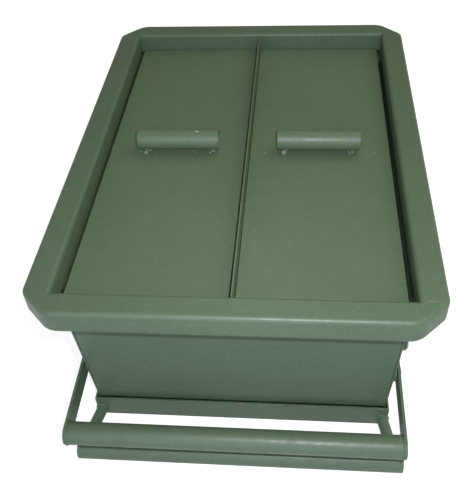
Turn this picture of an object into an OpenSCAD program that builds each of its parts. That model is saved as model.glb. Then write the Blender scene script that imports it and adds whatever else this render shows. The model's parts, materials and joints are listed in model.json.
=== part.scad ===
// Treadle feeder for poultry: a hopper of sheet steel with two compartments stands in a tray.
// A bird's weight on the bar in front swings the front door inward through a pair of side links.
// Millimetres. +X is the feeder's right, -Y its front and +Z is up.
// The origin lies on the ground, under the middle of the rim.

/* [Rim] */
// Outside width of the rim
rim_w = 430; // [400:1:520]
// Outside depth of the rim, front to back
rim_d = 596; // [540:1:720]
// Height of the rim's top face above the ground
rim_top = 230; // [228:1:280]
// Side of the square rim tube
rim_tube = 30; // [26:1:32]
// Radius of the rim tube's corners
rim_round = 8; // [2.5:0.5:10]
// Wall of the rim tube
rim_wall = 2; // [1.5:0.1:3]

/* [Hopper] */
// Thickness of the sheet steel
sheet = 2; // [1:0.1:2.5]
// Distance of the front and back walls from the rim's inside faces
wall_inset = 9; // [4:0.5:12]
// Distance that the side walls' top edges reach under the rim
side_tuck = 5; // [3:0.1:6.5]
// Height of the side walls' flared strip under the rim
flare_h = 30; // [28:1:60]
// Distance of the side walls' bend from the rim's inside faces
bend_inset = 2.9; // [1:0.1:5]
// Width that each side wall draws in from its bend to its foot
side_draw = 11.1; // [8:0.1:16]
// Width of the flat bar that carries the lids
ledge_w = 12; // [10:0.5:18]
// Thickness of the flat bar that carries the lids
ledge_t = 2.5; // [2:0.5:4]
// Distance that the front bar's ends stop short of the rim's sides, so that the lid hides them
ledge_short = 9; // [7:0.5:20]
// Thickness of the plate between the two compartments
divider_t = 2; // [1.5:0.5:5]
// Distance of that plate from the middle
divider_x = 0.9; // [-3:0.1:3]
// Depth of that plate's top edge below the rim's top face
divider_drop = 2; // [0:0.5:8]

/* [Feed guides] */
// Depth of the level shelf at the top of the baffle
baffle_shelf = 19; // [14:0.5:30]
// Height of the baffle's lower edge above the ground
baffle_foot_z = 70; // [60:1:90]
// Distance of the baffle's lower edge behind the front wall's face
baffle_foot_back = 94; // [85:1:110]
// Height at which the ramp meets the back wall
ramp_top_z = 180; // [120:1:190]
// Distance of the ramp's foot behind the front wall's face
ramp_foot_back = 139; // [125:1:200]

/* [Tray] */
// Height of the tray's walls
tray_h = 33; // [25:1:40]
// Gap between the tray's side walls and the hopper at the tray's lip
tray_side_gap = 1; // [0.2:0.1:4]
// Gap between the tray's end walls and the hopper
tray_end_gap = 4; // [2:0.5:10]

/* [Foot frame] */
// Diameter of the foot tube and of the treadle tube
tube_d = 25.4; // [20:0.1:28]
// Wall of those tubes
tube_wall = 2; // [1.2:0.1:3]
// Length of the foot tube past the middle of each rod
foot_over = 5.9; // [5:0.1:30]
// Distance of the foot tube's middle to the right of the feeder's middle
foot_off = 1.5; // [-3:0.1:3]
// Distance of the foot tube's centre in front of the tray
foot_ahead = 55; // [45:1:58]
// Diameter of the rods that join the foot tube to the tray
rod_d = 13.5; // [8:0.5:16]
// Distance of a rod's root from the tray's side
rod_inset = 6.5; // [4:0.5:20]
// Angle by which the rods splay outward
rod_splay = 12; // [0:1:15]
// Thickness of the plugs in the foot tube's ends
plug_t = 3; // [2:0.5:8]

/* [Treadle] */
// Height of the treadle's pivot above the ground
pivot_z = 80; // [78:1:92]
// Distance of the treadle's pivot and of the door's shaft behind the front wall's face
pivot_back = 13; // [12.5:0.5:16]
// Distance of the treadle tube in front of the pivot
treadle_reach = 93; // [88:1:104]
// Drop of the treadle tube below the pivot
treadle_drop = 3; // [2:0.5:9]
// Angle through which the treadle swings
treadle_travel = 25; // [15:0.5:25]
// Thickness of the treadle's arms
arm_t = 3; // [2:0.5:5]
// Free space between a side wall and a treadle arm
arm_space = 4.4; // [4:0.1:8]
// Diameter of the boss on which an arm turns
boss_d = 20; // [14:0.5:22]
// Diameter of the pivot, link and crank pins
pin_d = 8; // [6:0.5:9]
// Diameter of the pins' heads and shoulders
head_d = 14; // [11:0.5:16]
// Thickness of the pins' heads
head_t = 2; // [1:0.5:3]
// Diameter of the clip that keeps an arm on its pivot
clip_d = 16; // [12:0.5:18]
// Thickness of that clip
clip_t = 1; // [0.8:0.1:1.5]
// Distance of a counterweight behind the pivot
weight_back = 105; // [90:1:130]
// Diameter of a counterweight
weight_d = 50; // [40:1:56]
// Thickness of a counterweight
weight_t = 20; // [10:1:22]
// Chamfer on a counterweight's edges
weight_edge = 1.5; // [0.5:0.5:3]
// Diameter of the bolt through a counterweight
bolt_d = 10; // [6:0.5:12]
// Width across the corners of that bolt's nut
nut_w = 18.5; // [14:0.5:20]
// Thickness of that nut
nut_t = 7; // [4:0.5:8]
// Distance of the treadle's stop pin behind the pivot
stop_back = 66; // [60:1:75]
// Diameter of the stop pin
stop_d = 10; // [6:0.5:12]

/* [Door] */
// Distance of the door's shaft below the rim
door_drop = 34; // [32:1:38]
// Diameter of the door's shaft
shaft_d = 10; // [8:0.5:11]
// Outside diameter of the shaft's bushes
bush_d = 16; // [14:0.5:20]
// Height of the door's lower edge above the ground
door_foot_z = 30; // [20:1:36]
// Gap between the door and each side wall at the door's foot
door_gap = 0.3; // [0.2:0.1:2]
// That gap at the door's head, which comes down between the drawn-in walls as the door swings
door_head_gap = 0.8; // [0.8:0.1:2]
// Gap between the door and the fixed strip above it
header_gap = 1.5; // [1:0.1:3]
// Depth of the fold along the door's lower edge
door_hem = 8; // [4:0.5:12]
// Length that the door's top fold reaches past the shaft
fold_reach = 6; // [5:0.5:8]
// Distance from the shaft to the crank's pin
crank_r = 42; // [36:1:44]
// Radius of the crank's and the links' ends
eye_r = 9; // [8:0.5:10]
// Thickness of the cranks and the links
link_t = 3; // [2:0.5:4]

/* [Lids] */
// Thickness of a lid
lid_t = 2.5; // [1.5:0.5:4]
// Gap between a lid and the rim at the front and at the back
lid_end_gap = 2; // [1:0.5:6]
// Gap between the left lid and the rim's left side
lid_left_gap = 4.6; // [1:0.1:6]
// Gap between the right lid and the rim's right side
lid_right_gap = 5.6; // [2:0.1:8]
// Gap between the left lid and the plate beside it
lid_left_play = 3.5; // [0.5:0.1:8]
// Gap between the right lid and the plate beside it
lid_right_play = 0.5; // [0.5:0.1:8]
// Radius of a lid's corners
lid_round = 4; // [1:0.5:10]
// Diameter of the handle tubes
handle_d = 25.4; // [18:0.1:32]
// Length of the handle tubes
handle_len = 104; // [80:1:140]
// Distance of the handles behind the middle of the lids
handle_y = 4.5; // [-40:0.5:40]
// Distance of the left handle from its lid's middle
handle_left_off = 2.5; // [-10:0.5:10]
// Distance of the right handle from its lid's middle
handle_right_off = -1.5; // [-10:0.5:10]
// Height of the legs under the handles
leg_h = 4.6; // [3:0.1:15]
// Diameter of those legs
leg_d = 7.5; // [5:0.5:12]
// Distance of a leg from its handle's end
leg_inset = 10; // [6:0.5:25]

/* [Fits] */
// Gap left for paint and weld between fixed pieces
weld_gap = 0.1; // [0.05:0.05:0.3]
// Radial clearance of a pin or shaft that turns in its bore
run_fit = 0.05; // [0.03:0.01:0.1]
// Radial play of the crank's pin in the link's upper eye
eye_play = 0.3; // [0.2:0.05:0.6]
// Clearance between pieces that move past each other
side_gap = 0.3; // [0.2:0.05:0.6]

/* [Hidden] */
$fn = 64;
paint = "#5d6f59";
zinc = "#b4b9bc";

// Rim and hopper shell
rim_in_x = rim_w / 2 - rim_tube;
rim_in_y = rim_d / 2 - rim_tube;
rim_bottom = rim_top - rim_tube;
rim_mid_z = rim_top - rim_tube / 2;
wall_y = rim_in_y - wall_inset;
wall_head_z = rim_bottom - weld_gap;
wall_foot_z = sheet + weld_gap;
ledge_top = rim_bottom + ledge_t;
front_in_y = -wall_y + sheet + weld_gap;
back_in_y = wall_y - sheet - weld_gap;
flare_z = rim_bottom - flare_h;
bend_x = rim_in_x - bend_inset;
// Half of the hopper's outside width at a height: the sides draw in below their bend and flare above it
function wall_x(z) = z > flare_z
    ? bend_x + (side_tuck + bend_inset) * (z - flare_z) / flare_h
    : bend_x - side_draw * (flare_z - z) / (flare_z - sheet);
// Points along the right wall's outer face, moved in by an inset, from one height to another
function wall_points(z0, z1, inset) = [
    for (z = z0 < flare_z && flare_z < z1 ? [z0, flare_z, z1] : [z0, z1]) [wall_x(z) - inset, z]
];
// A row of points taken from its other end
function back_again(points) = [for (i = [len(points) - 1:-1:0]) points[i]];
// An outline from its right half, taken from the foot up
function both_halves(points) = concat(points, [for (p = back_again(points)) [-p[0], p[1]]]);
// Rise of the rim tube's round corner from its lowest line, at a distance from its inside face
function corner_rise(d) = rim_round - sqrt(pow(rim_round, 2) - pow(max(rim_round - d, 0), 2));
// The side walls' heads and the ledges' ends lie just under that corner
side_head_z = rim_bottom + corner_rise(side_tuck) - side_gap;
ledge_end_x = rim_in_x + corner_rise(ledge_t) - weld_gap;

// Tray and foot frame
tray_in_x = wall_x(tray_h) + tray_side_gap;
tray_out_x = tray_in_x + sheet;
tray_in_y = wall_y + tray_end_gap;
tray_out_y = tray_in_y + sheet;
foot_y = -tray_out_y - foot_ahead;
foot_z = tube_d / 2;
foot_len = 2 * (tray_out_x - rod_inset + foot_ahead * tan(rod_splay) + foot_over);

// Feed guides: the baffle's bend, its lower edge and the ramp's slope
baffle_bend = [front_in_y + baffle_shelf, wall_head_z];
baffle_foot = [-wall_y + baffle_foot_back, baffle_foot_z];
baffle_dir = (baffle_foot - baffle_bend) / norm(baffle_foot - baffle_bend);
baffle_out = [baffle_dir[1], -baffle_dir[0]];
bend_slide = -sheet * (1 + baffle_out[1]) / baffle_dir[1];
baffle_bend_in = baffle_bend + sheet * baffle_out + bend_slide * baffle_dir;
ramp_foot_y = -wall_y + ramp_foot_back;
ramp_angle = atan2(ramp_top_z - wall_foot_z, back_in_y - ramp_foot_y);
function ramp_z(y) = wall_foot_z + (y - ramp_foot_y) * tan(ramp_angle);

// Treadle: the pivot, and a point along an arm and across it
pivot_y = -wall_y + pivot_back;
arm_tilt = atan2(treadle_drop, treadle_reach);
arm_r = tube_d / 2;
bar_back = -norm([treadle_reach, treadle_drop]);
function arm_at(along, across = 0) = [
    pivot_y + along * cos(arm_tilt) - across * sin(arm_tilt),
    pivot_z + along * sin(arm_tilt) + across * cos(arm_tilt)
];
stop_at = arm_at(stop_back, -arm_r - side_gap - stop_d / 2);

// Places across the feeder, from a side wall outward, with the door's shaft over the treadle's pivot
door_z = rim_bottom - door_drop;
arm_in_x = wall_x(pivot_z) + arm_space;
arm_out_x = arm_in_x + arm_t;
crank_top_z = door_z + crank_r * sin(arm_tilt + treadle_travel) + eye_r;
crank_in_x = max(wall_x(crank_top_z), arm_out_x - link_t) + side_gap;
crank_out_x = crank_in_x + link_t;
link_in_x = crank_out_x + side_gap;
link_out_x = link_in_x + link_t;

// Door
crank_eye = [pivot_y, door_z] + crank_r * [cos(arm_tilt), sin(arm_tilt)];
fold_z = door_z + shaft_d / 2 + weld_gap;
door_top_z = fold_z + sheet;
// The door's gap grows from its foot to the walls' bend, and its width stays the same above that
function door_rise(z) = (min(z, flare_z) - door_foot_z) / (flare_z - door_foot_z);
function door_x(z) = wall_x(min(z, flare_z)) - sheet
    - door_gap - (door_head_gap - door_gap) * door_rise(z);

// Lids
lid_under = ledge_top + side_gap;
lid_top = lid_under + lid_t;
lid_len = 2 * (rim_in_y - lid_end_gap);
lid_left = [-rim_in_x + lid_left_gap, divider_x - divider_t / 2 - lid_left_play];
lid_right = [divider_x + divider_t / 2 + lid_right_play, rim_in_x - lid_right_gap];
function middle(span) = (span[0] + span[1]) / 2;
handle_left_x = middle(lid_left) + handle_left_off;
handle_right_x = middle(lid_right) + handle_right_off;
handle_z = lid_top + leg_h + handle_d / 2;

// Shared shapes

// An outline drawn in Y and Z, drawn out along X about the middle
module along_x(length) {
    rotate([90, 0, 90]) linear_extrude(length, center = true) children();
}

// An outline drawn in Y and Z, drawn out along X between two places
module across(x0, x1) {
    translate([(x0 + x1) / 2, 0, 0]) along_x(x1 - x0) children();
}

// An outline drawn in X and Z, drawn out along Y about the middle
module along_y(length) {
    rotate([90, 0, 0]) linear_extrude(length, center = true) children();
}

// A round bar along X at a place in Y and Z
module bar_x(at, d, x0, x1) {
    translate([x0, at[0], at[1]]) rotate([0, 90, 0]) cylinder(d = d, h = x1 - x0);
}

// The left twin of a piece that is drawn on the right
module on_left() {
    mirror([1, 0, 0]) children();
}

// A piece that is drawn on the right, with its left twin
module on_both() {
    children();
    on_left() children();
}

// A rectangle with round corners
module round_rect(w, d, r) {
    square([w - 2 * r, d], center = true);
    square([w, d - 2 * r], center = true);
    for (x = [-1, 1], y = [-1, 1]) {
        translate([x * (w / 2 - r), y * (d / 2 - r)]) circle(r);
    }
}

// A flat bar with a round end at each of two places
module eye_bar(p, q, r) {
    translate(p) circle(r);
    translate(q) circle(r);
    translate(p)
        rotate(atan2(q[1] - p[1], q[0] - p[0]))
            translate([0, -r]) square([norm(q - p), 2 * r]);
}

// The hopper's cross-section between its side walls, from one height to another
module hopper_section(z0, z1, gap) {
    polygon(both_halves(wall_points(z0, z1, sheet + gap)));
}

// A sheet across the hopper, between its side walls
module cross_sheet(z0, z1, y, gap) {
    translate([0, y, 0]) along_y(sheet) hopper_section(z0, z1, gap);
}

// What lies between the hopper's side walls
module hopper_room() {
    along_y(2 * wall_y) hopper_section(wall_foot_z, wall_head_z, weld_gap);
}

// Rim

module rim_section() {
    bore = rim_tube - 2 * rim_wall;
    difference() {
        round_rect(rim_tube, rim_tube, rim_round);
        round_rect(bore, bore, max(rim_round - rim_wall, rim_wall / 4));
    }
}

module rim_end_tube(y_side) {
    color(paint)
        translate([0, y_side * (rim_d - rim_tube) / 2, rim_mid_z])
            along_x(2 * (rim_in_x - weld_gap)) rim_section();
}

module rim_side_tube(x_side) {
    color(paint)
        translate([x_side * (rim_w - rim_tube) / 2, 0, rim_mid_z])
            along_y(2 * (rim_in_y - weld_gap)) rim_section();
}

// A bar along Y whose outer top and bottom edges are round
module edge_bar(reach, inset) {
    r = max(rim_round - inset, rim_wall / 4);
    high = rim_tube - inset;
    along_y(4 * rim_tube) {
        translate([-rim_tube, inset]) square([rim_tube + reach - r, high - inset]);
        translate([0, inset + r]) square([reach, high - inset - 2 * r]);
        for (z = [inset + r, high - r]) {
            translate([reach - r, z]) circle(r);
        }
    }
}

// A corner piece's block, drawn in by the inset
// It closes the square between two tube ends with a slanted face
module corner_block(inset) {
    intersection() {
        translate([-inset, -inset, 0]) cube(2 * rim_tube);
        rotate(45) edge_bar(rim_tube / sqrt(2) - inset, inset);
    }
}

module rim_corner(x_side, y_side) {
    color(paint)
        translate([x_side * rim_in_x, y_side * rim_in_y, rim_bottom])
            mirror([x_side < 0 ? 1 : 0, 0, 0]) mirror([0, y_side < 0 ? 1 : 0, 0])
                difference() {
                    corner_block(0);
                    corner_block(rim_wall);
                }
}

// Lid ledges, inside the rim at its foot

module ledge_end(y_side, end_x) {
    y = y_side * (rim_in_y - weld_gap - ledge_w / 2);
    color(paint)
        translate([-end_x, y - ledge_w / 2, rim_bottom]) cube([2 * end_x, ledge_w, ledge_t]);
}

// Hopper shell

module tray_pan() {
    color(paint)
        difference() {
            translate([-tray_out_x, -tray_out_y, 0]) cube([2 * tray_out_x, 2 * tray_out_y, tray_h]);
            translate([-tray_in_x, -tray_in_y, sheet]) cube([2 * tray_in_x, 2 * tray_in_y, tray_h]);
        }
}

module side_panel() {
    outer = wall_points(wall_foot_z, side_head_z, 0);
    inner = wall_points(wall_foot_z, side_head_z, sheet);
    holes = [
        [[pivot_y, pivot_z], boss_d],
        [[pivot_y, door_z], bush_d],
        [stop_at, stop_d]
    ];
    color(paint)
        difference() {
            along_y(2 * wall_y) polygon(concat(outer, back_again(inner)));
            for (hole = holes) {
                bar_x(hole[0], hole[1] + 2 * weld_gap, rim_in_x / 2, rim_w / 2);
            }
        }
}

module back_panel() {
    color(paint) cross_sheet(wall_foot_z, wall_head_z, wall_y - sheet / 2, weld_gap);
}

module front_header() {
    color(paint) cross_sheet(door_top_z + header_gap, wall_head_z, -wall_y + sheet / 2, weld_gap);
}

module feed_baffle() {
    color(paint)
        intersection() {
            hopper_room();
            along_x(rim_w) polygon([
                [front_in_y, wall_head_z],
                baffle_bend,
                baffle_foot,
                baffle_foot + sheet * baffle_out,
                baffle_bend_in,
                [front_in_y, wall_head_z - sheet]
            ]);
        }
}

module feed_ramp() {
    color(paint)
        intersection() {
            hopper_room();
            along_x(rim_w) polygon([
                [ramp_foot_y, wall_foot_z],
                [back_in_y, ramp_top_z],
                [back_in_y, ramp_top_z - sheet / cos(ramp_angle)],
                [ramp_foot_y + sheet / sin(ramp_angle), wall_foot_z]
            ]);
        }
}

module centre_divider() {
    seat = [weld_gap, weld_gap];
    long_y = rim_in_y - weld_gap;
    short_y = min(rim_in_y - ledge_w - weld_gap, wall_y - sheet) - weld_gap;
    shoulder_z = ledge_top + weld_gap;
    color(paint)
        translate([divider_x, 0, 0]) along_x(divider_t) polygon([
            [-long_y, rim_top - divider_drop],
            [long_y, rim_top - divider_drop],
            [long_y, shoulder_z],
            [short_y, shoulder_z],
            [short_y, ramp_z(short_y) + 2 * weld_gap],
            [ramp_foot_y, wall_foot_z + 2 * weld_gap],
            [baffle_foot[0] + 2 * weld_gap, wall_foot_z + 2 * weld_gap],
            baffle_foot + 2 * seat,
            baffle_bend + 2 * seat,
            [-short_y, wall_head_z + 2 * weld_gap],
            [-short_y, shoulder_z],
            [-long_y, shoulder_z]
        ]);
}

// Foot frame

module foot_tube() {
    color(paint)
        translate([foot_off, 0, 0]) difference() {
            bar_x([foot_y, foot_z], tube_d, -foot_len / 2, foot_len / 2);
            bar_x([foot_y, foot_z], tube_d - 2 * tube_wall, -foot_len, foot_len);
        }
}

module foot_plugs() {
    plug_d = tube_d - 2 * (tube_wall + weld_gap);
    color(paint)
        translate([foot_off, 0, 0])
            on_both() bar_x([foot_y, foot_z], plug_d, foot_len / 2 - plug_t, foot_len / 2);
}

module foot_rod() {
    root_y = -tray_out_y - weld_gap;
    color(paint)
        intersection() {
            difference() {
                translate([tray_out_x - rod_inset, -tray_out_y, foot_z])
                    rotate([90, 0, rod_splay]) cylinder(d = rod_d, h = 3 * foot_ahead, center = true);
                bar_x([foot_y, foot_z], tube_d + 2 * weld_gap, 0, rim_w);
            }
            translate([0, foot_y, 0]) cube([rim_w, root_y - foot_y, 2 * tube_d]);
        }
}

// Pivots and stops, welded into the side panels

module pivot_stud() {
    color(paint) {
        bar_x(
            [pivot_y, pivot_z], boss_d,
            wall_x(pivot_z + boss_d / 2) - sheet + weld_gap, arm_in_x - side_gap
        );
        bar_x([pivot_y, pivot_z], pin_d, arm_in_x - 2 * side_gap, arm_out_x + side_gap + 2 * clip_t);
    }
}

module pivot_clips() {
    color(zinc)
        on_both() difference() {
            bar_x([pivot_y, pivot_z], clip_d, arm_out_x + side_gap, arm_out_x + side_gap + clip_t);
            bar_x([pivot_y, pivot_z], pin_d + 2 * weld_gap, arm_in_x, arm_out_x + 3 * clip_t);
        }
}

module shaft_bush() {
    color(paint)
        difference() {
            bar_x(
                [pivot_y, door_z], bush_d,
                wall_x(door_z + bush_d / 2) - sheet + weld_gap, crank_in_x - side_gap
            );
            bar_x([pivot_y, door_z], shaft_d + 2 * run_fit, 0, rim_w);
        }
}

module stop_pin() {
    color(paint)
        bar_x(stop_at, stop_d, wall_x(stop_at[1] + stop_d / 2) - sheet + weld_gap, arm_out_x);
}

// Treadle

module treadle_bar() {
    x = arm_in_x - weld_gap;
    color(paint)
        difference() {
            bar_x(arm_at(bar_back), tube_d, -x, x);
            bar_x(arm_at(bar_back), tube_d - 2 * tube_wall, -rim_w, rim_w);
        }
}

module treadle_arm() {
    color(paint)
        across(arm_in_x, arm_out_x) difference() {
            eye_bar(arm_at(bar_back), arm_at(weight_back), arm_r);
            translate(arm_at(0)) circle(d = pin_d + 2 * run_fit);
            translate(arm_at(crank_r)) circle(d = pin_d + 2 * weld_gap);
            translate(arm_at(weight_back)) circle(d = bolt_d + 2 * weld_gap);
        }
}

module counterweight() {
    at = arm_at(weight_back);
    r = weight_d / 2;
    bore = bolt_d / 2 + weld_gap;
    color(paint)
        translate([arm_out_x + weld_gap, at[0], at[1]]) rotate([0, 90, 0]) rotate_extrude() polygon([
            [bore, 0],
            [r - weight_edge, 0],
            [r, weight_edge],
            [r, weight_t - weight_edge],
            [r - weight_edge, weight_t],
            [bore, weight_t]
        ]);
}

module counterweight_bolts() {
    color(zinc)
        on_both() bar_x(arm_at(weight_back), bolt_d, arm_in_x, arm_out_x + weight_t + nut_t + sheet);
}

module counterweight_nuts() {
    at = arm_at(weight_back);
    x0 = arm_out_x + weight_t + 2 * weld_gap;
    color(zinc)
        on_both() difference() {
            translate([x0, at[0], at[1]]) rotate([0, 90, 0]) cylinder(d = nut_w, h = nut_t, $fn = 6);
            bar_x(at, bolt_d + 2 * weld_gap, arm_in_x, x0 + 2 * nut_t);
        }
}

module link_pins() {
    at = arm_at(crank_r);
    color(zinc)
        on_both() {
            bar_x(at, pin_d, arm_in_x, link_out_x + side_gap + head_t);
            bar_x(at, head_d, arm_out_x + weld_gap, link_in_x - side_gap);
            bar_x(at, head_d, link_out_x + side_gap, link_out_x + side_gap + head_t);
        }
}

// Door

module door_panel() {
    bend_z = min(flare_z, door_top_z - sheet);
    half = [for (z = [door_foot_z, bend_z, door_top_z]) [door_x(z), z]];
    fold_x = door_x(door_z);
    hem_x = door_x(door_foot_z);
    color(paint) {
        translate([0, -wall_y + sheet / 2, 0]) along_y(sheet) polygon(both_halves(half));
        translate([-fold_x, -wall_y, fold_z]) cube([2 * fold_x, pivot_back + fold_reach, sheet]);
        translate([-hem_x, -wall_y, door_foot_z]) cube([2 * hem_x, door_hem, sheet]);
    }
}

module door_shaft() {
    color(zinc) bar_x([pivot_y, door_z], shaft_d, -crank_out_x, crank_out_x);
}

module door_crank() {
    shaft = [pivot_y, door_z];
    color(paint)
        across(crank_in_x, crank_out_x) difference() {
            eye_bar(shaft, crank_eye, eye_r);
            translate(shaft) circle(d = shaft_d + 2 * weld_gap);
            translate(crank_eye) circle(d = pin_d + 2 * weld_gap);
        }
}

module crank_pins() {
    color(zinc)
        on_both() {
            bar_x(crank_eye, pin_d, crank_in_x, link_out_x + side_gap + head_t);
            bar_x(crank_eye, head_d, link_out_x + side_gap, link_out_x + side_gap + head_t);
        }
}

// Links between the treadle and the door

module link_bar() {
    color(paint)
        across(link_in_x, link_out_x) difference() {
            eye_bar(arm_at(crank_r), crank_eye, eye_r);
            translate(arm_at(crank_r)) circle(d = pin_d + 2 * run_fit);
            translate(crank_eye) circle(d = pin_d + 2 * eye_play);
        }
}

// Lids

// A lid between two places across the feeder
module lid_plate(span) {
    color(paint)
        translate([middle(span), 0, lid_under])
            linear_extrude(lid_t) round_rect(span[1] - span[0], lid_len, lid_round);
}

module lid_handle(x) {
    at = [handle_y, handle_z];
    color(paint)
        difference() {
            bar_x(at, handle_d, x - handle_len / 2, x + handle_len / 2);
            bar_x(at, handle_d - 2 * tube_wall, x - handle_len, x + handle_len);
        }
}

module handle_legs(x) {
    color(paint)
        for (side = [-1, 1]) {
            difference() {
                translate([x + side * (handle_len / 2 - leg_inset), handle_y, lid_top + weld_gap])
                    cylinder(d = leg_d, h = handle_z - lid_top);
                bar_x([handle_y, handle_z], handle_d + 2 * weld_gap, x - handle_len, x + handle_len);
                translate([x - handle_len, handle_y - handle_d, handle_z]) cube(2 * handle_len);
            }
        }
}

tray_pan();
on_left() side_panel();  // side_panel_left
side_panel();  // side_panel_right
back_panel();
front_header();
feed_baffle();
feed_ramp();
centre_divider();
rim_end_tube(-1);  // rim_front
rim_end_tube(1);  // rim_back
rim_side_tube(-1);  // rim_left
rim_side_tube(1);  // rim_right
rim_corner(-1, -1);  // rim_corner_front_left
rim_corner(1, -1);  // rim_corner_front_right
rim_corner(-1, 1);  // rim_corner_back_left
rim_corner(1, 1);  // rim_corner_back_right
ledge_end(-1, rim_in_x - ledge_short);  // ledge_front
ledge_end(1, ledge_end_x);  // ledge_back
foot_tube();
foot_plugs();
on_left() foot_rod();  // foot_rod_left
foot_rod();  // foot_rod_right
on_left() pivot_stud();  // pivot_stud_left
pivot_stud();  // pivot_stud_right
pivot_clips();
on_left() shaft_bush();  // shaft_bush_left
shaft_bush();  // shaft_bush_right
on_left() stop_pin();  // stop_pin_left
stop_pin();  // stop_pin_right
treadle_bar();
on_left() treadle_arm();  // treadle_arm_left
treadle_arm();  // treadle_arm_right
on_left() counterweight();  // counterweight_left
counterweight();  // counterweight_right
counterweight_bolts();
counterweight_nuts();
link_pins();
door_panel();
door_shaft();
on_left() door_crank();  // door_crank_left
door_crank();  // door_crank_right
crank_pins();
on_left() link_bar();  // link_left
link_bar();  // link_right
lid_plate(lid_left);
lid_handle(handle_left_x);  // lid_handle_left
handle_legs(handle_left_x);  // handle_legs_left
lid_plate(lid_right);
lid_handle(handle_right_x);  // lid_handle_right
handle_legs(handle_right_x);  // handle_legs_right
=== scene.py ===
# %% [markdown]
# # A treadle feeder in painted steel
# The feeder is a welded steel box: sheet walls in a folded tray, a square-tube rim, two loose lids
# and a round bar that a bird steps on. The CAD model gives every size and every moving body. This
# script dresses it, so it loads that model first and takes its places from it.

# %% Load the measured frame
import json
import math
import random

import bmesh
import bpy
from mathutils import Matrix, Vector, noise


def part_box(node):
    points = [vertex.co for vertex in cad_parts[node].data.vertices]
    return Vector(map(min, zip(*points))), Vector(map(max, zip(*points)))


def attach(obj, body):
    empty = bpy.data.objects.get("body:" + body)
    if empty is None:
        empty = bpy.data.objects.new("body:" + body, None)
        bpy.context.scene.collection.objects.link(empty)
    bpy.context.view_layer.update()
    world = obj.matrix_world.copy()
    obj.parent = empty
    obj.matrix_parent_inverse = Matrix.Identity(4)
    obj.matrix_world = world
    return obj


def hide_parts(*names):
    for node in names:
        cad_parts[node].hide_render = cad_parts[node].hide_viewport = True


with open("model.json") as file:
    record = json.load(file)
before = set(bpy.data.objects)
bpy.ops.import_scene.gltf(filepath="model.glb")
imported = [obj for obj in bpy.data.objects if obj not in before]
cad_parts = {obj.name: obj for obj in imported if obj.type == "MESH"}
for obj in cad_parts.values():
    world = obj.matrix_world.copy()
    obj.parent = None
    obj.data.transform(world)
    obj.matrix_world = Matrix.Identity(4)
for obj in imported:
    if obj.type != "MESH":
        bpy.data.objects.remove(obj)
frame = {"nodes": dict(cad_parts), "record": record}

MM = 0.001
X, Y, Z = Vector((1, 0, 0)), Vector((0, 1, 0)), Vector((0, 0, 1))
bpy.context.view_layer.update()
nodes = frame["nodes"]

# %% [markdown]
# ## Camera
# The photograph looks down on the feeder from the front, a little from its right, and the camera is
# tipped sideways by a few degrees. One could drag a camera by eye, but its angles were worked out
# from the straight edges of the rim, so they are simply written down: turn, look down, then tip.

# %% Camera at the photograph's angle
IMAGE_HIGH, FOCAL = 500, 700                # pixels
LOOK_DOWN, TURN, TIP = 44.54, 7.09, -3.88   # degrees
EYE = Vector((0.0665, -0.7271, 0.7491))

view = bpy.data.cameras.new("camera")
view.sensor_width = 36
view.lens = FOCAL * view.sensor_width / IMAGE_HIGH
view.clip_start = 0.02
camera = bpy.data.objects.new("camera", view)
bpy.context.scene.collection.objects.link(camera)
camera.matrix_world = (
    Matrix.Translation(EYE)
    @ Matrix.Rotation(math.radians(TURN), 4, "Z")
    @ Matrix.Rotation(math.radians(90 - LOOK_DOWN), 4, "X")
    @ Matrix.Rotation(math.radians(TIP), 4, "Z")
)
bpy.context.scene.camera = camera
print("lens", round(view.lens, 1), "mm")

# %% [markdown]
# ## Nodes and colours
# Every finish is a small node tree. A helper that adds one node, sets its properties and links its
# inputs keeps each tree readable as a list of steps. Colours are written as sRGB hex, as a paint
# chart gives them, and turned to the linear values that the shader wants in one place.

# %% Helpers for finishes
def linear(code):
    """The linear colour of an sRGB hex code."""
    parts = [int(code[i:i + 2], 16) / 255 for i in (1, 3, 5)]
    curve = [p / 12.92 if p <= 0.04045 else ((p + 0.055) / 1.055) ** 2.4 for p in parts]
    return (*curve, 1.0)


def add(tree, kind, inputs=None, **settings):
    """Adds a node: settings are its properties, inputs are values or sockets to link."""
    node = tree.nodes.new(kind)
    for key, value in settings.items():
        setattr(node, key, value)
    for key, value in (inputs or {}).items():
        if isinstance(value, bpy.types.NodeSocket):
            tree.links.new(value, node.inputs[key])
        else:
            node.inputs[key].default_value = value
    return node


def per(size_mm):
    """The texture scale at which one feature of the pattern is this many millimetres wide."""
    return 1 / (size_mm * MM)


def new_finish(name):
    """A material with a Principled shader, and its tree, its shader and object coordinates."""
    finish = bpy.data.materials.new(name)
    finish.use_nodes = True
    tree = finish.node_tree
    shader = tree.nodes["Principled BSDF"]
    place = add(tree, "ShaderNodeTexCoord").outputs["Object"]
    return finish, tree, shader, place


print("middle grey in linear light:", [round(c, 3) for c in linear("#808080")])

# %% [markdown]
# ## Satin enamel on steel
# The feeder is sprayed after welding with one coat of satin grey-green enamel. To the eye that gives
# a soft broad sheen, a faint orange peel, patches where the coat is thinner, dust nibs, and edges
# paler from rubbing and from a painted highlight. Painted pictures would need unwrapped pieces.
# Noise on the object's own coordinates needs none, and the pattern stays put when a part moves. The
# pale edges and the painted shade inside the hopper come from attributes that the modelling steps
# write.

# %% Satin enamel
# Pale edge: rubbed wear and painted highlight. Near black: painted shade inside the hopper.
WEAR_AND_HIGHLIGHT_TONE, INSIDE_SHADE_TONE, NIB = "#8d9b8c", "#1c211b", "#b9c4b4"


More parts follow.
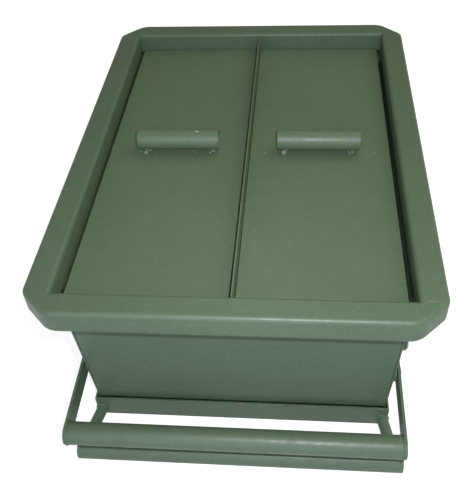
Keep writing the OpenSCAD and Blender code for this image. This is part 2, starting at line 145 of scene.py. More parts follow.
def enamel(name, thin, full):
    """Satin enamel with one tone where its coat is thin and another where it is full."""
    finish, tree, shader, place = new_finish(name)
    # The coat's thickness drifts over a hand's width, and mottles over a few millimetres
    drift = add(tree, "ShaderNodeTexNoise",
                {"Vector": place, "Scale": per(140), "Detail": 3.0, "Roughness": 0.6})
    mottle = add(tree, "ShaderNodeTexNoise", {"Vector": place, "Scale": per(6), "Detail": 2.0})
    blend = add(tree, "ShaderNodeMath", {0: drift.outputs["Fac"], 1: mottle.outputs["Fac"]},
                operation="ADD")
    share = add(tree, "ShaderNodeMapRange",
                {"Value": blend.outputs[0], "From Min": 0.72, "From Max": 1.28})
    coat = add(tree, "ShaderNodeMix",
               {"Factor": share.outputs[0], "A": linear(thin), "B": linear(full)},
               data_type="RGBA")
    # Pale edges, rubbed wear and painted highlight: an attribute marks them, noise breaks them up
    pale_wear_and_highlight = add(tree, "ShaderNodeAttribute", attribute_name="pale_wear_and_highlight")
    wear = add(tree, "ShaderNodeTexNoise",
               {"Vector": place, "Scale": per(9), "Detail": 4.0, "Roughness": 0.7})
    patches = add(tree, "ShaderNodeMapRange", {"Value": wear.outputs["Fac"], "From Min": 0.42,
                                               "From Max": 0.72, "To Max": 0.25})
    wear_and_highlight_share = add(tree, "ShaderNodeMath", {0: pale_wear_and_highlight.outputs["Fac"], 1: patches.outputs[0]},
                 operation="MULTIPLY")
    edged = add(tree, "ShaderNodeMix", {"Factor": wear_and_highlight_share.outputs[0], "A": coat.outputs["Result"],
                                        "B": linear(WEAR_AND_HIGHLIGHT_TONE)}, data_type="RGBA")
    # Painted shade: faces inside the hopper are darkened towards near black, so the gaps stay dark
    inside_shade = add(tree, "ShaderNodeAttribute", attribute_name="inside_shade")
    inside_shaded = add(tree, "ShaderNodeMix", {"Factor": inside_shade.outputs["Fac"],
                                          "A": edged.outputs["Result"],
                                          "B": linear(INSIDE_SHADE_TONE)}, data_type="RGBA")
    # Dust nibs under the paint: about one in a 30 mm cell, 1 to 2 mm wide so that they show
    cells = add(tree, "ShaderNodeTexVoronoi", {"Vector": place, "Scale": per(30)})
    nib = add(tree, "ShaderNodeMapRange", {"Value": cells.outputs["Distance"], "From Min": 0.030,
                                           "From Max": 0.014, "To Max": 0.5})
    tone = add(tree, "ShaderNodeMix", {"Factor": nib.outputs[0], "A": inside_shaded.outputs["Result"],
                                       "B": linear(NIB)}, data_type="RGBA")
    tree.links.new(tone.outputs["Result"], shader.inputs["Base Color"])
    # Sheen: satin, duller where the coat is thin
    gloss = add(tree, "ShaderNodeMapRange",
                {"Value": share.outputs[0], "To Min": 0.51, "To Max": 0.39})
    tree.links.new(gloss.outputs[0], shader.inputs["Roughness"])
    shader.inputs["IOR"].default_value = 1.5
    # Orange peel at 2.5 mm over the sheet's own slow waves, with the nibs standing proud
    wave = add(tree, "ShaderNodeTexNoise", {"Vector": place, "Scale": per(60), "Detail": 1.0})
    peel = add(tree, "ShaderNodeTexNoise", {"Vector": place, "Scale": per(2.5), "Detail": 1.0})
    slow = add(tree, "ShaderNodeBump",
               {"Height": wave.outputs["Fac"], "Strength": 0.08, "Distance": 2 * MM})
    fine = add(tree, "ShaderNodeBump", {"Height": peel.outputs["Fac"], "Strength": 0.2,
                                        "Distance": 0.3 * MM, "Normal": slow.outputs[0]})
    proud = add(tree, "ShaderNodeBump", {"Height": nib.outputs[0], "Strength": 0.5,
                                         "Distance": 0.3 * MM, "Normal": fine.outputs[0]})
    tree.links.new(proud.outputs[0], shader.inputs["Normal"])
    return finish


GREEN = enamel("satin enamel on mild steel", "#54674f", "#5a6f58")
LID_GREEN = enamel("satin enamel on lid plate", "#586c52", "#5e7359")
print("finishes:", GREEN.name, "/", LID_GREEN.name)

# %% [markdown]
# ## Zinc plate
# The shaft, pins, clips, bolts and nuts are turned steel with bright zinc plate, which is a pale,
# slightly blue metal with a fine turned grain and cloudy dull patches. One flat grey would read as
# plastic. A metal is told by its reflections, so here only its roughness and tint vary.

# %% Zinc plate on turned steel
def zinc_plate():
    """Bright zinc with dull clouds of 9 mm and a grain of 0.8 mm."""
    finish, tree, shader, place = new_finish("zinc plate on turned steel")
    shader.inputs["Metallic"].default_value = 1.0
    cloud = add(tree, "ShaderNodeTexNoise", {"Vector": place, "Scale": per(9), "Detail": 3.0})
    tint = add(tree, "ShaderNodeMix", {"Factor": cloud.outputs["Fac"], "A": linear("#9ea3a4"),
                                       "B": linear("#c6cacb")}, data_type="RGBA")
    tree.links.new(tint.outputs["Result"], shader.inputs["Base Color"])
    dull = add(tree, "ShaderNodeMapRange", {"Value": cloud.outputs["Fac"], "From Min": 0.3,
                                            "From Max": 0.7, "To Min": 0.30, "To Max": 0.48})
    tree.links.new(dull.outputs[0], shader.inputs["Roughness"])
    grain = add(tree, "ShaderNodeTexNoise", {"Vector": place, "Scale": per(0.8), "Detail": 2.0})
    bump = add(tree, "ShaderNodeBump",
               {"Height": grain.outputs["Fac"], "Strength": 0.15, "Distance": 0.1 * MM})
    tree.links.new(bump.outputs[0], shader.inputs["Normal"])
    return finish


ZINC = zinc_plate()
print("finish:", ZINC.name)

# %% [markdown]
# ## From a bmesh to a finished piece
# Each piece is modelled as a bmesh and handed in once: doubles merged, faces turned outwards, shaded
# smooth with its sharp edges kept, painted, and set to ride on its CAD body in place of its CAD
# node. A Weighted Normal modifier keeps broad flat faces flat beside their small rounded edges.

# %% Helpers for pieces
SHARP = math.radians(40)
SAME_PLACE = 0.001 * MM


def fresh(mesh=None):
    """A bmesh, empty or from a mesh, with attributes for pale edges and the painted shade inside."""
    bm = bmesh.new()
    if mesh:
        bm.from_mesh(mesh)
    bm.faces.layers.float.new("pale_wear_and_highlight")
    bm.faces.layers.float.new("inside_shade")
    return bm


def sharp_edges(bm, least=SHARP):
    """The edges at which two faces meet at more than an angle."""
    return [e for e in bm.edges if len(e.link_faces) == 2 and e.calc_face_angle() > least]


def round_edges(bm, edges, radius, segments=3, wear_and_highlight_share=1.0, clamp=True):
    """Rounds edges and marks how pale the new strips are, as wear and painted highlight."""
    made = bmesh.ops.bevel(bm, geom=edges, offset=radius, offset_type="OFFSET", segments=segments,
                           profile=0.5, affect="EDGES", clamp_overlap=clamp, material=-1)
    pale_wear_and_highlight = bm.faces.layers.float["pale_wear_and_highlight"]
    for face in made["faces"]:
        face[pale_wear_and_highlight] = wear_and_highlight_share


def keep(name, bm, finish, body, slot, *stands_for, sharp=SHARP):
    """Makes a finished piece of a bmesh."""
    bmesh.ops.remove_doubles(bm, verts=bm.verts, dist=SAME_PLACE)
    bmesh.ops.recalc_face_normals(bm, faces=bm.faces)
    for face in bm.faces:
        face.smooth = True
    for edge in bm.edges:
        edge.smooth = len(edge.link_faces) == 2 and edge.calc_face_angle() < sharp
    mesh = bpy.data.meshes.new(name)
    bm.to_mesh(mesh)
    bm.free()
    mesh.materials.append(finish)
    piece = bpy.data.objects.new(name, mesh)
    bpy.context.scene.collection.objects.link(piece)
    even = piece.modifiers.new("even shading", "WEIGHTED_NORMAL")
    even.keep_sharp = True
    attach(piece, body)
    if stands_for:
        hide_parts(*stands_for)
    print(f"{name}: {len(mesh.polygons)} faces")


bodies = frame["record"]["behaviour"]["bodies"]
body_of = {node: body for body, names in bodies.items() for node in names}
print("helpers ready for", len(body_of), "nodes")

# %% [markdown]
# ## Three ways to start a shape
# Nearly all of the feeder is sheet, turned stock or sawn stock. So three starts are enough: a box
# between two corners, a section spun about a line, and a longer piece cut off by planes, with the
# cut ends closed as a saw leaves them.

# %% Helpers for shapes
def block(low, high):
    """A box between two corners."""
    bm = fresh()
    bmesh.ops.create_cube(bm, size=1)
    bmesh.ops.scale(bm, vec=high - low, verts=bm.verts)
    bmesh.ops.translate(bm, vec=(low + high) / 2, verts=bm.verts)
    return bm


def spun(section, axis_at, steps):
    """A closed section of places along x with their radii, turned once about a line along x."""
    bm = fresh()
    verts = [bm.verts.new((x, axis_at.y, axis_at.z + radius)) for x, radius in section]
    edges = [bm.edges.new(pair) for pair in zip(verts, verts[1:] + verts[:1])]
    bmesh.ops.spin(bm, geom=verts + edges, cent=axis_at, axis=X, angle=math.tau, steps=steps,
                   use_merge=True)
    bmesh.ops.recalc_face_normals(bm, faces=bm.faces)
    return bm


def sawn(whole, cuts):
    """What lies behind all cuts, with closed ends. A cut is a place and an outward direction."""
    bm = whole.copy()
    for at, out in cuts:
        geometry = bm.verts[:] + bm.edges[:] + bm.faces[:]
        bmesh.ops.bisect_plane(bm, geom=geometry, plane_co=at, plane_no=out, clear_outer=True,
                               dist=SAME_PLACE)
        bmesh.ops.holes_fill(bm, edges=[e for e in bm.edges if e.is_boundary], sides=0)
    return bm


def is_level(edge):
    """Whether an edge runs level."""
    return abs(edge.verts[0].co.z - edge.verts[1].co.z) < MM


print("three starts: block, spun, sawn")

# %% [markdown]
# ## Rim
# The rim is 30 mm square tube with corners of about 5 mm, and a cut corner piece closes each corner.
# On the real one the welds are ground flush, so the surface runs on from piece to piece. Eight boxes
# would never meet that well, so the whole ring is modelled first, rounded in one bevel, and then
# sawn at the seams.

# %% The rim as one ring
low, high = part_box("rim_front")
TUBE, RIM_TOP = high.z - low.z, high.z
IN_X, IN_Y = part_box("rim_right")[0].x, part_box("rim_back")[0].y
OUT_X, OUT_Y = IN_X + TUBE, IN_Y + TUBE
RIM_ROUND, TUCKED_ROUND = 5 * MM, 1.5 * MM
SIDE_EASE, END_EASE = 5 * MM, 9 * MM    # what the rounding of an upright edge takes off each flat
BLUNT, STEEP = math.radians(20), math.radians(60)


def is_tucked(edge):
    """Whether an edge lies at the rim's lower inside, where the walls' weld fills the rounding."""
    return all(v.co.z < RIM_TOP - TUBE + MM
               and abs(v.co.x) < IN_X + MM and abs(v.co.y) < IN_Y + MM for v in edge.verts)


def rim_ring():
    """The whole rim: two flat halves, each like a C, drawn down by the tube's height, rounded."""
    bm = fresh()
    half = [(0, -OUT_Y), (IN_X, -OUT_Y), (OUT_X, -IN_Y), (OUT_X, IN_Y), (IN_X, OUT_Y), (0, OUT_Y),
            (0, IN_Y), (IN_X, IN_Y), (IN_X, -IN_Y), (0, -IN_Y)]
    for side in (-1, 1):
        bm.faces.new([bm.verts.new((side * x, y, RIM_TOP)) for x, y in half])
    bmesh.ops.remove_doubles(bm, verts=bm.verts, dist=SAME_PLACE)
    bmesh.ops.recalc_face_normals(bm, faces=bm.faces)
    drawn = bmesh.ops.extrude_face_region(bm, geom=bm.faces[:])["geom"]
    bmesh.ops.translate(bm, vec=-TUBE * Z,
                        verts=[v for v in drawn if isinstance(v, bmesh.types.BMVert)])
    bmesh.ops.recalc_face_normals(bm, faces=bm.faces)
    upright = [e for e in sharp_edges(bm, BLUNT) if not is_level(e)]
    at_sides = [e for e in upright if abs(e.verts[0].co.x) > IN_X + MM]
    at_ends = [e for e in upright if abs(e.verts[0].co.y) > IN_Y + MM]
    round_edges(bm, at_sides, SIDE_EASE, segments=6, wear_and_highlight_share=0.0)
    round_edges(bm, at_ends, END_EASE, segments=6, wear_and_highlight_share=0.0)
    shown = [e for e in sharp_edges(bm, STEEP) if is_level(e) and not is_tucked(e)]
    round_edges(bm, shown, RIM_ROUND, segments=8, wear_and_highlight_share=0.0, clamp=False)
    tucked = [e for e in sharp_edges(bm, STEEP) if is_tucked(e)]
    round_edges(bm, tucked, TUCKED_ROUND, wear_and_highlight_share=0.0)
    return bm


ring = rim_ring()
print("rim:", len(ring.faces), "faces before sawing")

# %% [markdown]
# ### The rim's eight pieces
# Sawing along the inner corner's two planes leaves four straight tubes and four cut corners. Each
# keeps the rounding of the whole, so the seams close without a step.

# %% Saw the ring at its seams
corner_at = Vector((IN_X, IN_Y, 0))
for side, y in (("front", -1), ("back", 1)):
    cuts = [(corner_at, X), (-corner_at, -X), (y * IN_Y * Y, -y * Y)]
    keep(f"rim_tube_{side}", sawn(ring, cuts), GREEN, "hopper", "green_paint", f"rim_{side}")
for side, x in (("left", -1), ("right", 1)):
    cuts = [(corner_at, Y), (-corner_at, -Y), (x * IN_X * X, -x * X)]
    keep(f"rim_tube_{side}", sawn(ring, cuts), GREEN, "hopper", "green_paint", f"rim_{side}")
for end, y in (("front", -1), ("back", 1)):
    for side, x in (("left", -1), ("right", 1)):
        at = Vector((x * IN_X, y * IN_Y, 0))
        keep(f"rim_cut_{end}_{side}", sawn(ring, [(at, -x * X), (at, -y * Y)]), GREEN, "hopper",
             "green_paint", f"rim_corner_{end}_{side}")
ring.free()

# %% [markdown]
# ## Lids
# Each lid is a loose flat plate with broken corners and edges. A real sheared plate is never quite
# flat, and its slow waves are what one sees in the sheen. A bump alone would leave its outline
# straight, so the plate is divided and lifted a fraction of a millimetre by noise. The noise is
# raised so that the plate hardly dips, because it rests on the ledges under it.

# %% Lid plates
LID_CORNER, LID_EDGE = 1.5 * MM, 0.5 * MM
LID_CELLS = (10, 30)                    # across and along
WAVE_HEIGHT, WAVE_RAISED = 0.7 * MM, 0.8
WAVES = (7, 5, 10)                      # per metre across and along, and between the two lids
CALM_EDGE = 40 * MM                     # the waves die out over this width


def lid(node):
    """A lid's plate."""
    low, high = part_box(node)
    bm = block(low, high)
    round_edges(bm, [e for e in bm.edges if not is_level(e)], LID_CORNER, segments=5, wear_and_highlight_share=0.0)
    round_edges(bm, sharp_edges(bm, STEEP), LID_EDGE, segments=2)
    for axis, count in enumerate(LID_CELLS):
        for step in range(1, count):
            at = low.copy()
            at[axis] += (high - low)[axis] * step / count
            bmesh.ops.bisect_plane(bm, geom=bm.verts[:] + bm.edges[:] + bm.faces[:], plane_co=at,
                                   plane_no=(X, Y)[axis])
    for v in bm.verts:
        to_edge = min(v.co.x - low.x, high.x - v.co.x, v.co.y - low.y, high.y - v.co.y)
        wave = noise.noise((v.co.x * WAVES[0], v.co.y * WAVES[1], low.x * WAVES[2]))
        v.co.z += WAVE_HEIGHT * (wave + WAVE_RAISED) * min(1, to_edge / CALM_EDGE)
    keep(node + "_plate", bm, LID_GREEN, node, "lid_paint", node)


for node in ("lid_left", "lid_right"):
    lid(node)

# %% [markdown]
# ## Tubes
# The handles, the treadle's bar and the foot tube are cut from the same round tube, open at the
# ends, with a saw-cut lip that paint has softened. Two cylinders and a Boolean would do it, but a
# spin is cleaner: the wall's small rectangle is turned once about the tube's axis.

# %% Round tube
TUBE_WALL = 2 * MM


def tube(name, node, lip, finish, slot):
    """A round tube along x with softened lips."""
    low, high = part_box(node)
    outer = (high.z - low.z) / 2
    inner = outer - TUBE_WALL
    wall = ((low.x, outer), (high.x, outer), (high.x, inner), (low.x, inner))
    bm = spun(wall, (low + high) / 2, steps=72)
    round_edges(bm, sharp_edges(bm), lip)
    keep(name, bm, finish, body_of[node], slot, node)


for side in ("left", "right"):
    tube(f"handle_tube_{side}", f"lid_handle_{side}", 0.6 * MM, LID_GREEN, "lid_paint")
tube("treadle_tube", "treadle_bar", 0.4 * MM, GREEN, "green_paint")
tube("ground_tube", "foot_tube", 0.7 * MM, GREEN, "green_paint")

# %% [markdown]
# ## Tray
# The tray is one sheet folded up on four sides. Folded sheet is told by the round bend along its
# foot. So the box loses its top, its foot is rounded by the bend's radius, and only then does the
# sheet get its thickness: a thick box, hollowed, would have a square corner inside.

# %% Folded tray
SHEET, BEND, SHEET_LIP = 2 * MM, 1.5 * MM, 0.6 * MM
tray_low, tray_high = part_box("tray_pan")
bm = block(tray_low, tray_high)
bmesh.ops.delete(bm, geom=[f for f in bm.faces if f.normal.z > 0.9], context="FACES")
foot = [e for e in bm.edges if max(v.co.z for v in e.verts) < MM]
round_edges(bm, foot, BEND, segments=5, wear_and_highlight_share=0.0)
bmesh.ops.recalc_face_normals(bm, faces=bm.faces)
bmesh.ops.solidify(bm, geom=bm.faces[:], thickness=SHEET)
lip = [e for e in sharp_edges(bm) if min(v.co.z for v in e.verts) > tray_high.z - 0.1 * MM]
round_edges(bm, lip, SHEET_LIP, segments=2)
keep("folded_tray", bm, GREEN, "hopper", "green_paint", "tray_pan")

# %% [markdown]
# ## Sheet and bar pieces
# The walls, ledges, arms, links and weights have their right outlines in CAD already, holes
# included, but with knife edges that catch no light. Drawing them anew would only risk their fit.
# Their meshes are copied, merged and freed of flat seams, and each sharp edge is broken by a
# fraction of a millimetre, as deburring and paint do. The sides that face into the hopper are
# marked for painted shade, which darkens them.

# %% Pieces with broken edges
WALLS = ["side_panel_left", "side_panel_right", "back_panel", "front_header", "door_panel"]
GUIDES = ["feed_baffle", "feed_ramp", "ledge_front", "ledge_back"]
BARS = ["treadle_arm_left", "treadle_arm_right", "door_crank_left", "door_crank_right",
        "link_left", "link_right", "foot_plugs", "pivot_stud_left", "pivot_stud_right",
        "shaft_bush_left", "shaft_bush_right", "stop_pin_left", "stop_pin_right"]
WEIGHTS = ["counterweight_left", "counterweight_right"]
GUIDE_SHADE, WALL_SHADE = 0.95, 0.285     # share of painted shade that darkens the guides and the walls inside


def broken(node, radius, segments, finish, slot):
    """A CAD piece with its sharp edges broken."""
    bm = fresh(nodes[node].data)
    bmesh.ops.remove_doubles(bm, verts=bm.verts, dist=2 * SAME_PLACE)
    bmesh.ops.dissolve_limit(bm, angle_limit=math.radians(1), verts=bm.verts, edges=bm.edges)
    round_edges(bm, sharp_edges(bm), radius, segments)
    # Painted shade: the guides and the walls' inner faces are darkened towards near black
    inside_shade = bm.faces.layers.float["inside_shade"]
    for face in bm.faces:
        middle = face.calc_center_median()
        inward = -face.normal.x * middle.x - face.normal.y * middle.y
        if node in GUIDES:
            face[inside_shade] = GUIDE_SHADE
        elif node in WALLS and inward > 0.1:
            face[inside_shade] = WALL_SHADE
    coated = "plated" if finish == ZINC else "painted"
    keep(f"{node}_{coated}", bm, finish, body_of[node], slot, node)


for group, radius, segments, finish, slot in (
    (WALLS + GUIDES + ["centre_divider"], 0.2 * MM, 2, GREEN, "green_paint"),
    (BARS, 0.5 * MM, 2, GREEN, "green_paint"),
    (WEIGHTS, 1.0 * MM, 3, GREEN, "green_paint"),
    (["pivot_clips", "door_shaft"], 0.3 * MM, 2, ZINC, "zinc_plate"),
    (["counterweight_bolts", "link_pins", "crank_pins"], 0.8 * MM, 4, ZINC, "zinc_plate"),
):
    for node in group:
        broken(node, radius, segments, finish, slot)

# %% [markdown]
# ## Nuts
# A hexagon nut is a turned disc with chamfered rims, and six flats are milled on it. A six-sided
# cylinder lacks the curved lines where chamfer and flat meet, so the nut is made as the real one is:
# a section is spun, six planes cut the flats, and a mirror makes its twin on the other side.

# %% Nuts of the counterweights
low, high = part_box("counterweight_nuts")
bolt_low, bolt_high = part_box("counterweight_bolts")
nut_at = (low + high) / 2
half_corners, half_flats = (high.z - low.z) / 2, (high.y - low.y) / 2
bore = (bolt_high.z - bolt_low.z) / 2 + 0.1 * MM
seat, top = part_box("counterweight_right")[1].x, high.x
chamfer = (half_corners - half_flats) * math.tan(math.radians(30))
section = [(seat, bore), (seat, half_flats), (seat + chamfer, half_corners),
           (top - chamfer, half_corners), (top, half_flats), (top, bore)]
disc = spun(section, nut_at, steps=48)
turns = [math.tau * flat / 6 for flat in range(6)]
outward = [math.cos(a) * Y + math.sin(a) * Z for a in turns]
nut = sawn(disc, [(nut_at + half_flats * out, out) for out in outward])
disc.free()
bmesh.ops.mirror(nut, geom=nut.verts[:] + nut.edges[:] + nut.faces[:], merge_dist=-1, axis="X")
keep("counterweight_nuts_plated", nut, ZINC, body_of["counterweight_nuts"], "zinc_plate",
     "counterweight_nuts", sharp=BLUNT)

# %% [markdown]
# ## Pieces kept from CAD
# The rods and the handles' short legs end in saddles on round tube, and welds will cover both ends.
# Modelling them again would show nothing new, so their CAD meshes stay and only get the paint.

# %% Paint the pieces that stay
for node, finish in (("foot_rod_left", GREEN), ("foot_rod_right", GREEN),
                     ("handle_legs_left", LID_GREEN), ("handle_legs_right", LID_GREEN)):
    mesh = nodes[node].data
    mesh.materials.clear()
    mesh.materials.append(finish)
print("painted in place: rods and legs")

# %% [markdown]
# ## Welds
# A weld is a row of drops that froze into each other, so that is how it is made here: small balls
# along the seam, each a little off its place and size, melted into one skin by a voxel remesh and
# settled by smoothing. A swept tube would be quicker, but it shows none of the ripple. One piece
# holds all the welds of a body, because they ride together. The seed is fixed, so every run gives
# the same drops.

# %% Drops of weld metal
rng = random.Random(7)
PITCH, WANDER = 0.8, 0.15               # step and stray of a drop, in its radius


def bead(path, radius):
    """Drops of weld metal along a path of points: each a place and a radius."""
    drops = []
    for start, end in zip(path, path[1:]):
        count = max(1, round((end - start).length / (PITCH * radius)))
        for step in range(count):
            stray = Vector([rng.uniform(-WANDER, WANDER) * radius for axis in range(3)])
            drops.append((start.lerp(end, step / count) + stray, radius * rng.uniform(0.85, 1.12)))
    return drops


def circle(centre, u, v, steps=24):
    """Points once round an ellipse with the half axes u and v."""
    turns = [math.tau * step / steps for step in range(steps + 1)]
    return [centre + math.cos(a) * u + math.sin(a) * v for a in turns]


def melted(name, drops, finish, body, slot, grain=0.5 * MM, wear_and_highlight_share=0.0):
    """A piece that joins all these drops into one skin."""
    bm = bmesh.new()
    bmesh.ops.create_icosphere(bm, subdivisions=2, radius=1)
    ball = bpy.data.meshes.new("ball")
    bm.to_mesh(ball)
    bm.clear()
    for at, radius in drops:
        drop = ball.copy()
        drop.transform(Matrix.Translation(at) @ Matrix.Scale(radius, 4))
        bm.from_mesh(drop)
        bpy.data.meshes.remove(drop)
    mesh = bpy.data.meshes.new("drops")
    bm.to_mesh(mesh)
    bm.free()
    lump = bpy.data.objects.new("drops", mesh)
    bpy.context.scene.collection.objects.link(lump)
    melt = lump.modifiers.new("melt", "REMESH")
    melt.mode = "VOXEL"
    melt.voxel_size = grain
    settle = lump.modifiers.new("settle", "SMOOTH")
    settle.iterations = 3
    solved = lump.evaluated_get(bpy.context.evaluated_depsgraph_get())
    bm = fresh(bpy.data.meshes.new_from_object(solved))
    bpy.data.objects.remove(lump)
    pale_wear_and_highlight = bm.faces.layers.float["pale_wear_and_highlight"]
    for face in bm.faces:
        face[pale_wear_and_highlight] = wear_and_highlight_share
    keep(name, bm, finish, body, slot, sharp=math.radians(80))


print("a ring of 24 steps has", len(circle(Vector(), X, Y)), "points")

# %% [markdown]
# ### Welds of the rim and the tray
# The rim's seams were ground almost flush, so there the drops sit deep and only their caps show, a
# little more at the front right. The rim's inside corners and the tray's corners have plain beads.

# %% Beads at the corners
SEAM, SEAM_INSET = 1.2 * MM, 8 * MM     # a drop's radius, and the bare length at each end
PROUD, PROUD_FRONT_RIGHT = 0.25 * MM, 0.55 * MM
LEDGE_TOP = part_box("ledge_front")[1].z
seams, drops = [], []
for x in (-1, 1):
    for y in (-1, 1):
        inside = Vector((x * IN_X, y * IN_Y, RIM_TOP))
        proud = PROUD_FRONT_RIGHT if (x, y) == (1, -1) else PROUD
        sunk = inside - (SEAM - proud) * Z
        for way in (x * X, y * Y):
            seams += bead([sunk + SEAM_INSET * way, sunk + (TUBE - SEAM_INSET) * way], SEAM)
        drops += bead([Vector((inside.x, inside.y, LEDGE_TOP)), inside - RIM_ROUND * Z], 1.4 * MM)
        corner = Vector((x * (tray_high.x - MM), y * (tray_high.y - MM), SHEET))
        drops += bead([corner, corner + (tray_high.z - 2 * SHEET) * Z], 1.6 * MM)
print(len(seams), "drops in the seams,", len(drops), "in the corners")

# %% [markdown]
# ### Welds of the sides and the foot
# Bosses and rods are welded all round, so their beads are circles, on a leaning wall or wrapped over
# the foot tube. Short stitches hold the walls to the rim and to the back. Whole seams would be
# stronger than a feed box needs, and would warp the sheet.

# %% Beads and stitches at the sides
WALL_FOOT, WALL_LEAN = 171 * MM, 11.1 / 168     # half width at the tray's floor, and slant above it
ROD_INSET, ROD_SPLAY = 6.5 * MM, math.radians(12)
tube_low, tube_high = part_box("foot_tube")
tube_r, tube_y = (tube_high.z - tube_low.z) / 2, (tube_high.y + tube_low.y) / 2


def wall_x(x, z):
    """Where a side wall's outer face stands at a height below its bend."""
    return x * (WALL_FOOT + WALL_LEAN * (z - SHEET))


for side, x in (("left", -1), ("right", 1)):
    low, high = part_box(f"side_panel_{side}")
    for node, radius in ((f"pivot_stud_{side}", 1.8 * MM), (f"stop_pin_{side}", 1.2 * MM)):
        pin_low, pin_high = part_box(node)
        reach = (pin_high.y - pin_low.y) / 2
        centre = (pin_low + pin_high) / 2
        centre.x = wall_x(x, centre.z)
        drops += bead(circle(centre, reach * Y, reach * (Z + x * WALL_LEAN * X)), radius)
    for stitch in range(6):
        start = Vector((x * (IN_X + 5 * MM), low.y + (30 + 82 * stitch) * MM, RIM_TOP - TUBE))
        drops += bead([start, start + 22 * MM * Y], 1.7 * MM)
    for stitch in range(5):
        z = (48 + 27 * stitch) * MM
        drops += bead([Vector((wall_x(x, at) - x * SHEET, high.y - 0.9 * MM, at))
                       for at in (z, z + 15 * MM)], 1.5 * MM)
    rod_low, rod_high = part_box(f"foot_rod_{side}")
    rod_r, rod_z = (rod_high.z - rod_low.z) / 2, (rod_high.z + rod_low.z) / 2
    root = Vector((x * (tray_high.x - ROD_INSET), tray_low.y, rod_z))
    around = circle(root, rod_r / math.cos(ROD_SPLAY) * X, rod_r * Z)
    drops += bead(around, 1.7 * MM)
    saddle = []
    for point in around:
        y = tube_y + math.sqrt(tube_r ** 2 - (point.z - rod_z) ** 2)
        saddle.append(Vector((point.x + x * (tray_low.y - y) * math.tan(ROD_SPLAY), y, point.z)))
    drops += bead(saddle, 1.6 * MM)
melted("welds_hopper", drops, GREEN, "hopper", "green_paint")
melted("welds_rim", seams, GREEN, "hopper", "green_paint", grain=0.3 * MM)

# %% [markdown]
# ### Welds of the moving pieces
# The treadle's bar is welded to its arms all round, each crank to the door's shaft, and each
# handle's legs to the lid and to the tube, with a fat first drop at the front of each leg and some
# spatter beside it. Each body gets a piece of its own, so that its welds swing or lift with it.

# %% Welds of the treadle, the door and the lids
SPATTER = 7                             # specks beside each leg
FAT_AT = Vector((-2, -2.6, 1)) * MM     # the fat drop's place from the front of a leg's foot
for name, node, radius in (("welds_treadle", "treadle_bar", 1.3 * MM),
                           ("welds_door", "door_shaft", 1.0 * MM)):
    low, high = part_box(node)
    reach = (high.z - low.z) / 2
    drops = []
    for x in (low.x, high.x):
        end = Vector((x, (low.y + high.y) / 2, (low.z + high.z) / 2))
        drops += bead(circle(end, reach * Y, reach * Z), radius)
    melted(name, drops, GREEN, body_of[node], "green_paint")

for side in ("left", "right"):
    low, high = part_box(f"handle_legs_{side}")
    leg_r = (high.y - low.y) / 2
    drops = []
    for x, fat in ((low.x + leg_r, 4.0 * MM), (high.x - leg_r, 1.9 * MM)):
        foot = Vector((x, (low.y + high.y) / 2, low.z))
        drops += bead(circle(foot, leg_r * X, leg_r * Y), 1.4 * MM)
        drops += bead(circle(foot + 4 * MM * Z, leg_r * X, leg_r * Y), 1.2 * MM)
        drops.append((foot - leg_r * Y + FAT_AT, fat))
        for speck in range(SPATTER):
            stray = Vector((rng.uniform(-30, 30) * MM, rng.uniform(-6, -2) * MM, 0))
            drops.append((foot + stray, rng.uniform(0.8, 1.5) * MM))
    # The lid welds are made pale all over: a painted highlight where the flash catches the drops
    melted(f"welds_lid_{side}", drops, LID_GREEN, f"lid_{side}", "lid_paint", wear_and_highlight_share=6.0)

# %% [markdown]
# ### A chip in the paint
# The left handle has one bright chip on top, where a knock took the enamel down to the pale primer.
# Colour alone would look printed on, so a few flat drops make a crust that stands just proud of the
# tube.

# %% Chip on the left handle
primer, tree, shader, place = new_finish("grey primer in a paint chip")
grit = add(tree, "ShaderNodeTexNoise", {"Vector": place, "Scale": per(0.7), "Detail": 2.0})
tint = add(tree, "ShaderNodeMix", {"Factor": grit.outputs["Fac"], "A": linear("#aeb8ac"),
                                   "B": linear("#f2f4ee")}, data_type="RGBA")
tree.links.new(tint.outputs["Result"], shader.inputs["Base Color"])
shader.inputs["Roughness"].default_value = 0.6

FLAKE = 1.2 * MM
low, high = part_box("lid_handle_left")
middle = (low + high) / 2
chip_at = Vector((middle.x + 24 * MM, middle.y - MM, high.z - 0.9 * MM))
flakes = ((0, 0), (1.2, 0.3), (-0.9, 0.5), (2.2, -0.2))
drops = [(chip_at + Vector((x, y, 0)) * MM, FLAKE) for x, y in flakes]
melted("paint_chip_left", drops, primer, "lid_left", "lid_paint", grain=0.25 * MM)

# %% [markdown]
# ## Floor
# The ground is pale paper. More light would make it white, but would bleach the feeder too. So the
# paper is lifted to white only where the camera sees it, and by a share in reflections: it still
# takes the feeder's shadow, and it throws only the light of a pale floor back up.

# %% Paper floor
def direct_view(tree, mirrored):
    """Nodes that give 1 where the camera looks, also through glass, and a share in reflections."""
    seen = add(tree, "ShaderNodeLightPath")
    plain = add(tree, "ShaderNodeMath", {0: seen.outputs["Is Camera Ray"],
                                         1: seen.outputs["Is Transmission Ray"]},
                operation="MAXIMUM")
    return add(tree, "ShaderNodeMath", {0: seen.outputs["Is Glossy Ray"], 1: mirrored,
                                        2: plain.outputs[0]}, operation="MULTIPLY_ADD")


floor_mesh = bpy.data.meshes.new("floor")
bm = bmesh.new()
bmesh.ops.create_grid(bm, x_segments=1, y_segments=1, size=6)
bmesh.ops.translate(bm, vec=-0.2 * MM * Z, verts=bm.verts)
bm.to_mesh(floor_mesh)
bm.free()
floor = bpy.data.objects.new("floor", floor_mesh)
bpy.context.scene.collection.objects.link(floor)

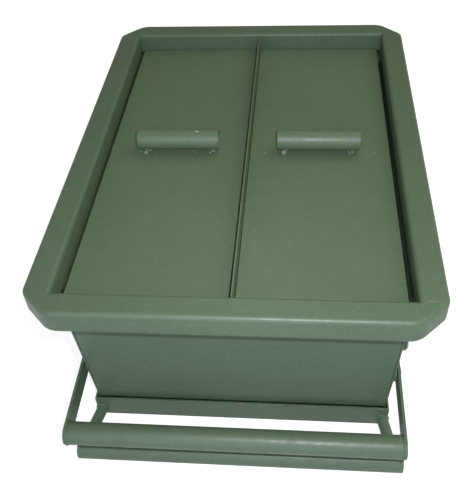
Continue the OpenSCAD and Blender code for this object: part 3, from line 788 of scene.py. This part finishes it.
paper = bpy.data.materials.new("white paper ground")
paper.use_nodes = True
tree = paper.node_tree
tree.nodes.clear()
matt = add(tree, "ShaderNodeBsdfDiffuse", {"Color": linear("#b4b4b4")})
glow = add(tree, "ShaderNodeEmission", {"Color": linear("#ffffff"), "Strength": 0.84})
none = add(tree, "ShaderNodeEmission", {"Strength": 0.0})
direct = direct_view(tree, 0.65)
lifted = add(tree, "ShaderNodeMixShader",
             {0: direct.outputs[0], 1: none.outputs[0], 2: glow.outputs[0]})
both = add(tree, "ShaderNodeAddShader", {0: matt.outputs[0], 1: lifted.outputs[0]})
add(tree, "ShaderNodeOutputMaterial", {"Surface": both.outputs[0]})
floor_mesh.materials.append(paper)
print("floor:", paper.name)

# %% [markdown]
# ## Lamps
# The photograph was lit by a small flash just right of and above the lens, which draws the narrow
# highlights, by cool daylight from behind the camera, and by a broad warm light from above and
# behind, which throws the soft shadows under the handles. A bright world would fill in the rest, but
# also the gaps beside the lids. So three low lamps light the other sides, and little of their light
# gets over the rim. Only the flash and the window show in reflections.

# %% Flash, window, skylight and low fills
def lamp(name, at, size, power, code, mirrored=True):
    """A round lamp aimed at the feeder: its place and diameter in metres, its watts and colour."""
    light = bpy.data.lights.new(name, "AREA")
    light.shape = "DISK"
    light.size = size
    light.energy = power
    light.color = linear(code)[:3]
    held = bpy.data.objects.new(name, light)
    held.location = at
    aim = Vector((0, -0.1, 0.15)) - Vector(at)
    held.rotation_euler = aim.to_track_quat("-Z", "Y").to_euler()
    held.visible_glossy = mirrored
    bpy.context.scene.collection.objects.link(held)
    return held


to_right, to_top = (camera.matrix_world.to_3x3() @ axis for axis in (X, Y))
flash = lamp("flash", EYE + 0.05 * to_right + 0.035 * to_top, 0.015, 2.05, "#f6f4ff")
flash.data.spread = math.radians(110)
lamp("window", (-0.2, -2.0, 0.7), 1.9, 17, "#dcecff")
lamp("skylight", (0.85, 0.42, 1.6), 2.2, 15.8, "#fff0e2", mirrored=False)
for side, at in (("right", (1.6, 0.1, 0.12)), ("left", (-1.6, 0.1, 0.12)),
                 ("back", (0.2, 1.9, 0.12))):
    lamp(f"low {side} fill", at, 0.3, 6.5, "#ffffff", mirrored=False)

# %% [markdown]
# ## World
# The room itself is dim and faintly warm. A white world would light the feeder from all sides and
# take its shadows away, so white is only what the camera sees behind the floor's edge, and a tenth
# of what reflections see there.

# %% Dim room, white backdrop
world = bpy.data.worlds.new("studio")
world.use_nodes = True
tree = world.node_tree
tree.nodes.clear()
room = add(tree, "ShaderNodeBackground", {"Color": linear("#fbffe6"), "Strength": 0.14})
backdrop = add(tree, "ShaderNodeBackground", {"Color": linear("#ffffff"), "Strength": 1.0})
direct = direct_view(tree, 0.1)
behind = add(tree, "ShaderNodeMixShader",
             {0: direct.outputs[0], 1: room.outputs[0], 2: backdrop.outputs[0]})
add(tree, "ShaderNodeOutputWorld", {"Surface": behind.outputs[0]})
bpy.context.scene.world = world
bpy.context.scene.view_settings.view_transform = "Standard"
print("world:", world.name)
